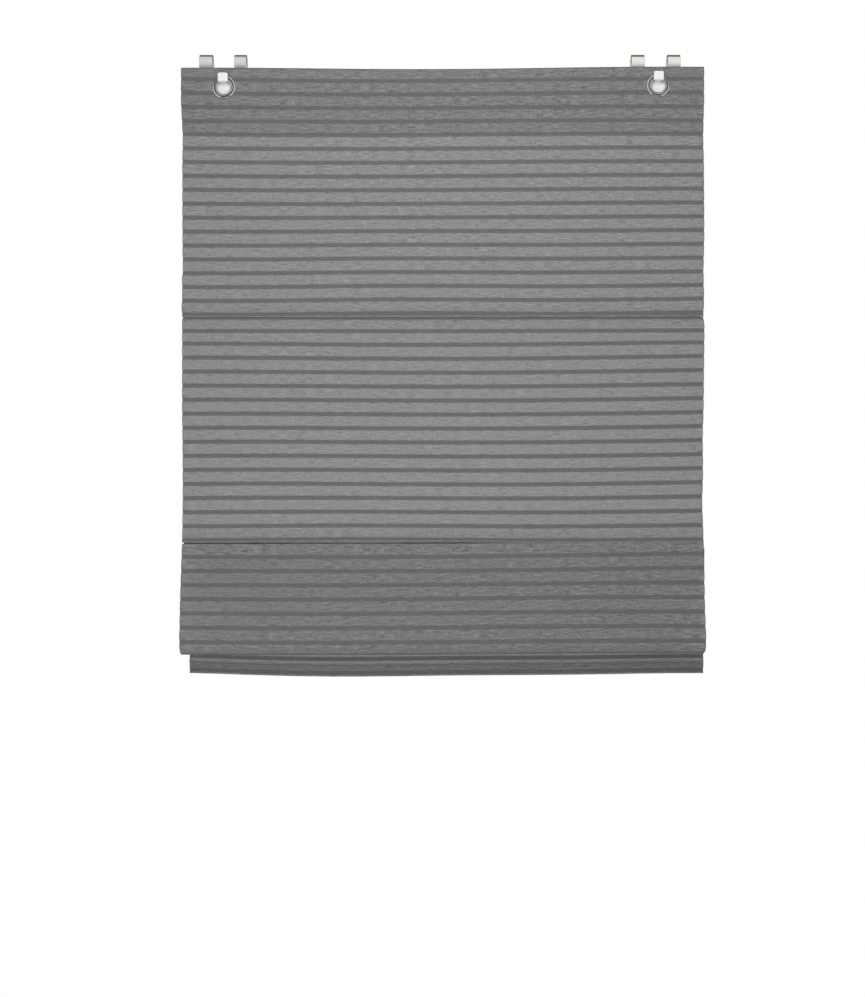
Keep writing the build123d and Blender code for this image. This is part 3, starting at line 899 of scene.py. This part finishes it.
# %% Eyelets and washers
BARREL = 11.4 * MM
FRONT_LINE = (
    # radius, height above the cloth's face, corner radius
    (17.0, 0.0, 0.1),
    (17.0, 0.75, 0.25),
    (15.5, 2.0, 0.45),
    (14.0, 2.05, 0.35),
    (13.3, 1.1, 0.2),
    (12.1, 1.85, 0.3),
    (11.4, 1.9, 0.25),
    (10.7, 1.3, 0.25),
)
BACK_LINE = (
    (10.7, -3.9, 0.5),
    (13.0, -3.9, 0.3),
    (13.0, -3.3, 0.25),
    (11.4, -3.3, 0.0),
    (11.4, 0.0, 0.0),
)
WASHER_EDGES = np.array([0.15, 0.5, 0.2, 0.15]) * MM
face_y = panel_y - BAND / 2
nickel_pieces = []
for end, middle in eyelet_middles.items():
    section = np.array(FRONT_LINE + BACK_LINE)
    outline = rounded(section[:, :2] * [1, -1], section[:, 2]) * MM + [0, face_y]
    eyelet = turned(f"{end}_eyelet_ring", outline, middle, "eyelet_nickel", [f"{end}_eyelet"])
    low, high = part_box(f"{end}_eyelet_washer")
    outer = (high.x - low.x) / 2
    corners = [(BARREL, high.y), (outer, high.y), (outer, low.y), (BARREL, low.y)]
    outline = rounded(corners, WASHER_EDGES)
    washer = turned(f"{end}_washer", outline, middle, "eyelet_nickel", [f"{end}_eyelet_washer"])
    nickel_pieces += [eyelet, washer]

# %% [markdown]
# ## Strap loops
#
# Each loop is a length of webbing that goes over the top, down through the slot of the
# hook plate, and back up behind, where its end is sewn over its start. So it is an open
# strip, a little longer than once round. Its line is the belt round two circles: two
# straight runs that touch both, and two arcs. Over the last stretch the strip climbs by its
# own thickness, so that it comes to lie on itself.
#
# The section of the strip is a flat rectangle with round edges, carried along that line.

# %% Webbing
STRAP_THICKNESS = 1.6 * MM
STRAP_BORE = 10 * MM
STRAP_OVERLAP = 14 * MM
PLATE_THICKNESS = 2.6 * MM
CROSSBAR_HEIGHT = 4.6 * MM
BAR_CLEARANCE = 0.2 * MM
STRAP_ROWS = 150
STRAP_EDGE = 0.6 * MM
LAP_CLIMB = 1.02 * STRAP_THICKNESS


def crossbar_of(end):
    """The middle (y, z) of the rounded lower edge that the straps turn round."""
    low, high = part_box(f"{end}_hook_plate")
    return np.array([high.y - PLATE_THICKNESS / 2, high.z - CROSSBAR_HEIGHT + PLATE_THICKNESS / 2])


def strap_line(bar):
    """The belt's middle line from the middle of the back run, over the top and round the bar."""
    top = STRAP_BORE + STRAP_THICKNESS / 2
    bottom = PLATE_THICKNESS / 2 + BAR_CLEARANCE + STRAP_THICKNESS / 2
    apart = math.hypot(*bar)
    slant = math.degrees(math.asin((top - bottom) / apart))
    run = math.sqrt(apart**2 - (top - bottom) ** 2)
    towards = math.degrees(math.atan2(bar[1], bar[0])) + 180 + slant
    start = top * np.array(cos_sin(towards - 90))
    start -= run / 2 * np.array(cos_sin(towards))
    pieces = [
        straight(run / 2),
        turn(top, 180 + 2 * slant),
        straight(run),
        turn(bottom, 180 - 2 * slant),
        straight(run / 2),
    ]
    return FoldLine(start, math.radians(towards), pieces)


def strap(name, place, width, bar, node):
    """Webbing carried along its line, climbing by its thickness before it laps over its start."""
    line = strap_line(bar)
    distance = np.linspace(-STRAP_OVERLAP / 2, line.length + STRAP_OVERLAP / 2, STRAP_ROWS)
    spot, heading = line.at(distance % line.length)
    climb = np.interp(distance, [line.length - STRAP_OVERLAP, line.length - STRAP_OVERLAP / 2], [0, 1])
    climb = (3 * climb**2 - 2 * climb**3) * LAP_CLIMB
    right = np.stack([np.sin(heading), -np.cos(heading)], -1)
    half, thick = width / 2, STRAP_THICKNESS / 2
    section = rounded([(-half, -thick), (half, -thick), (half, thick), (-half, thick)], [STRAP_EDGE] * 4)
    out = climb[:, None] + section[:, 1]
    y = spot[:, :1] + right[:, :1] * out
    z = spot[:, 1:] + right[:, 1:] * out
    points = side_by_side(place + section[:, 0], y, z).reshape(-1, 3)
    count = len(section)
    faces = grid_faces(len(distance), count, around=True)[:, ::-1].tolist()
    faces += [list(range(count)), list(range(len(points) - 1, len(points) - 1 - count, -1))]
    # The crest is where the line runs level over the top, and the weave is measured from it
    to_crest = math.pi - line.headings[1] % (2 * math.pi)
    crest = line.starts[1] + line.lengths[1] / line.turns[1] * to_crest
    weave = side_by_side(section[:, 0], distance[:, None] - crest)
    print(name, "webbing length", round((line.length + STRAP_OVERLAP) / MM, 1), "mm")
    return new_piece(name, points, faces, [node], weave.reshape(-1, 2))


# Middle and width of each loop, as the photograph shows them
STRAPS = {
    "left_outer": (-364.6 * MM, 20.1 * MM),
    "left_inner": (-311.6 * MM, 18.5 * MM),
    "right_inner": (300.05 * MM, 19.9 * MM),
    "right_outer": (355.4 * MM, 19.6 * MM),
}
straps = {}
for name, (place, width) in STRAPS.items():
    end = name.split("_")[0]
    straps[name] = strap(f"{name}_webbing", place, width, crossbar_of(end), f"{name}_strap")

# %% [markdown]
# ## Hook plates
#
# The plates are moulded, and the CAD model already has their outline, their slots and the
# arm with its upturned tip. Only its edges are harder than a moulding's. A copy of its mesh
# is merged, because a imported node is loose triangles, and a Bevel modifier rounds what is
# left sharp.

# %% Moulded plates
WELD = 0.01 * MM
PLATE_EDGE = 0.35 * MM
BEVEL_STEPS = 3
BEVEL_ANGLE = math.radians(30)


def softened(node, name, radius):
    """A merged copy of a CAD node with its sharp edges rounded."""
    mesh = NODES[node].data.copy()
    piece = bpy.data.objects.new(name, mesh)
    link(piece)
    weld = piece.modifiers.new("weld", "WELD")
    weld.merge_threshold = WELD
    bevel = piece.modifiers.new("bevel", "BEVEL")
    bevel.width = radius
    bevel.segments = BEVEL_STEPS
    bevel.limit_method = "ANGLE"
    bevel.angle_limit = BEVEL_ANGLE
    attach(piece, "root")
    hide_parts(node)
    return piece


plates = [softened(f"{end}_hook_plate", f"{end}_hook", PLATE_EDGE) for end in SIDES]

# %% [markdown]
# ## Plain finishes
#
# The smaller parts have simple but not flat finishes. Moulded plastic has a faint unevenness in its
# gloss, drawn tube and bar have fine lines along their length, nickel has soft handling marks, and
# webbing has ribs across it and a dark patch of painted shade over its crest.

# %% Webbing, plastic and metal
WEBBING_RIB_MM = 1.5
TWILL_MM = 1.1
# From and to, in millimetres from the crest, where the dark patch of painted shade begins and ends
CREST_SHADE_BEGINS = (-4.0, -2.0)
CREST_SHADE_ENDS = (11.6, 9.6)


def webbing_finish(name, colour, shade_colour):
    """Ribs across the webbing, and a darker patch of painted shade over its crest, where it turns away
    from the light.
    """
    webbing = Finish(name, Roughness=0.8, Specular_IOR_Level=0.3)
    x, y = webbing.woven()
    y = y * 1000
    rib = y.math("SINE", y * (2 * math.pi / WEBBING_RIB_MM))
    twill = x.math("SINE", x * (2 * math.pi / TWILL_MM) + y * 2.1)
    fuzz = webbing.noise(x / 0.8, y / 0.8, 2.0) - 0.5
    tone = 0.95 + rib * 0.04 + twill * 0.03 + fuzz * 0.16
    # Painted shade: over the crest, where the webbing turns over the rod away from the light, the colour
    # goes to the dark shade colour
    crest = webbing.ramp(y, *CREST_SHADE_BEGINS) * webbing.ramp(y + fuzz * 1.5, *CREST_SHADE_ENDS)
    crest_shade = webbing.mix(crest, colour, shade_colour)
    webbing.skin_gets("Base Color", webbing.shade(crest_shade, tone))
    webbing.bump(rib * 0.5 + twill * 0.4 + fuzz, 0.15 * MM)
    return webbing


def plastic_finish(name, colour, roughness):
    """A moulded skin with a faint unevenness in its gloss."""
    plastic = Finish(name, Specular_IOR_Level=0.45)
    x, y, z = plastic.coordinates()
    cloud = plastic.noise(x / 14.0, y / 14.0, z / 14.0, 3.0) - 0.5
    grain = plastic.noise(x / 0.6, y / 0.6, z / 0.6) - 0.5
    plastic.skin_gets("Base Color", plastic.shade(colour, 1.0 + cloud * 0.05))
    plastic.skin_gets("Roughness", roughness + cloud * 0.15)
    plastic.bump(grain, 0.04 * MM)
    return plastic


def drawn_finish(name, colour, roughness, metallic):
    """Fine lines along X, as drawing through a die leaves them."""
    drawn = Finish(name, Metallic=metallic)
    x, y, z = drawn.coordinates()
    lines = drawn.noise(x / 60.0, y / 0.25, z / 0.25, 2.0) - 0.5
    drawn.skin_gets("Base Color", drawn.shade(colour, 1.0 + lines * 0.15))
    drawn.skin_gets("Roughness", roughness + lines * 0.2)
    drawn.bump(lines, 0.03 * MM)
    return drawn


def nickel_finish(name, colour, roughness):
    """Bright metal with soft marks from handling."""
    nickel = Finish(name, Metallic=1.0)
    x, y, z = nickel.coordinates()
    marks = nickel.noise(x / 3.0, y / 3.0, z / 3.0, 4.0, 0.6) - 0.5
    nickel.skin_gets("Base Color", nickel.shade(colour, 1.0 + marks * 0.08))
    nickel.skin_gets("Roughness", roughness + marks * 0.05)
    return nickel


# The second colour of each pair is the painted shade over the webbing's crest, not a colour of the
# webbing itself
GREY, GREY_SHADED = (0.72, 0.71, 0.685, 1), (0.17, 0.155, 0.145, 1)
CREAM, CREAM_SHADED = (0.90, 0.855, 0.81, 1), (0.13, 0.095, 0.07, 1)
webbing_finish("webbing_grey", GREY, GREY_SHADED).put_on(straps["left_outer"], straps["left_inner"])
webbing_finish("webbing_cream", CREAM, CREAM_SHADED).put_on(straps["right_inner"], straps["right_outer"])
plastic_finish("thread", (0.17, 0.17, 0.172, 1), 0.7).put_on(thread)
plastic_finish("hook_plastic", (0.86, 0.855, 0.845, 1), 0.35).put_on(*plates)
nickel_finish("eyelet_nickel", (0.56, 0.555, 0.545, 1), 0.10).put_on(*nickel_pieces)
tubes = [NODES[f"{place}_rod_tube"] for place in rods]
caps = [NODES[f"{place}_rod_{end}_cap"] for place in rods for end in SIDES]
magnets = [NODES[f"{place}_rod_{end}_magnet"] for place in rods for end in SIDES]
drawn_finish("rod_plastic", (0.7, 0.7, 0.69, 1), 0.5, 0.0).put_on(*tubes)
plastic_finish("cap_plastic", (0.72, 0.72, 0.71, 1), 0.45).put_on(*caps)
nickel_finish("magnet_nickel", (0.6, 0.6, 0.59, 1), 0.2).put_on(*magnets)
drawn_finish("bar_steel", (0.5, 0.5, 0.51, 1), 0.35, 1.0).put_on(weight_bar)
drawn_finish("hem_stiffener", (0.75, 0.75, 0.74, 1), 0.55, 0.0).put_on(stiffener)

# %% [markdown]
# ## Floor, light and camera
#
# The blind hangs above a pale floor that is too far below to be seen from the front. The
# background is plain white to the camera, to gloss and through the cloth, and a soft grey
# to everything else, so white behind the blind adds no light to its face. Only straight
# behind the camera it is dim to gloss, as a room is: the flat tops of the nickel look dark
# there, and its slopes pick up the white.
#
# Two wide lamps in front, one high and one low, give the cloth its even light. The low one
# reaches in under the big fold and onto the tail. A third one behind lights the back, and
# a little of its light comes through wherever the cloth lies in one layer.
#
# The camera stands level with the middle of the picture and looks straight at the cloth.

# %% World and floor
world = bpy.data.worlds.new("studio")
bpy.context.scene.world = world
world.use_nodes = True
AMBIENT = 0.22
DIM_SIDE = 0.07
# How far a gloss ray heads towards -Y where the world is dim, and where it is white again
DIM_FROM = -0.88
WHITE_FROM = -0.62
background = world.node_tree.nodes["Background"]
background.inputs["Color"].default_value = (1, 1, 1, 1)


def world_node(kind, inputs, output=0, **settings):
    return add_node(world.node_tree, kind, settings, inputs, output)


def world_math(operation, first, second):
    return world_node("ShaderNodeMath", {0: first, 1: second}, operation=operation)


rays = world.node_tree.nodes.new("ShaderNodeLightPath").outputs
towards = world_node("ShaderNodeTexCoord", {}, "Generated")
ahead = world_node("ShaderNodeSeparateXYZ", {0: towards}, "Y")
dim_to_white = {"Value": ahead, "From Min": DIM_FROM, "From Max": WHITE_FROM, "To Min": DIM_SIDE}
in_gloss = world_node("ShaderNodeMapRange", dim_to_white, interpolation_type="SMOOTHSTEP")
gloss = world_math("MULTIPLY", rays["Is Glossy Ray"], in_gloss)
seen = world_math("ADD", rays["Is Camera Ray"], rays["Is Transmission Ray"])
plain = world_math("ADD", seen, rays["Is Glossy Ray"])
soft = world_node("ShaderNodeMapRange", {"Value": plain, "To Min": AMBIENT, "To Max": 0.0})
strength = world_math("ADD", world_math("ADD", seen, gloss), soft)
feed(world.node_tree, background.inputs["Strength"], strength)

FLOOR_Z = -2.1
FLOOR_RADIUS = 1.85
FLOOR_SIDES = 96
angles = np.linspace(0, 2 * np.pi, FLOOR_SIDES, endpoint=False)
level = np.full(FLOOR_SIDES, FLOOR_Z)
disc = np.stack([FLOOR_RADIUS * np.cos(angles), FLOOR_RADIUS * np.sin(angles), level], -1)
mesh = bpy.data.meshes.new("floor")
mesh.from_pydata(disc, [], [list(range(FLOOR_SIDES))])
floor = bpy.data.objects.new("floor", mesh)
link(floor)
Finish("floor", Base_Color=(0.9, 0.9, 0.9, 1), Roughness=0.9).put_on(floor)
floor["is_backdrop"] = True

# %% Lamps and camera
def lamp(name, place, aim, size, power):
    """A square lamp in metres and watts that lights the blind and isn't seen itself."""
    light = bpy.data.lights.new(name, "AREA")
    light.size = size
    light.energy = power
    holder = bpy.data.objects.new(name, light)
    holder.location = place
    holder.rotation_euler = (Vector(aim) - Vector(place)).to_track_quat("-Z", "Y").to_euler()
    holder.visible_camera = False
    holder.visible_glossy = False
    link(holder)


lamp("high", (0.02, -1.2, 0.25), (0, 0, -0.4), 1.0, 13.2)
lamp("low", (-0.35, -1.4, -1.55), (0, 0, -0.85), 0.8, 11.2)
lamp("back", (0.0, 0.8, -1.3), (0, 0, -0.9), 1.3, 10)

LENS = 51.48
SENSOR = 36
CAMERA_PLACE = (-0.0161, -2.200, -0.6723)
camera_data = bpy.data.cameras.new("camera")
camera_data.lens = LENS
camera_data.sensor_width = SENSOR
camera = bpy.data.objects.new("camera", camera_data)
camera.location = CAMERA_PLACE
camera.rotation_euler = (math.pi / 2, 0, 0)
link(camera)
bpy.context.scene.camera = camera
bpy.context.scene.view_settings.view_transform = "Standard"

# %% [markdown]
# ## Closing
#
# At the end, the box round everything that renders, the floor left out, is printed.

# %% The end
low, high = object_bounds()
print("visual box:", [round(v, 4) for v in (*low, *high)])
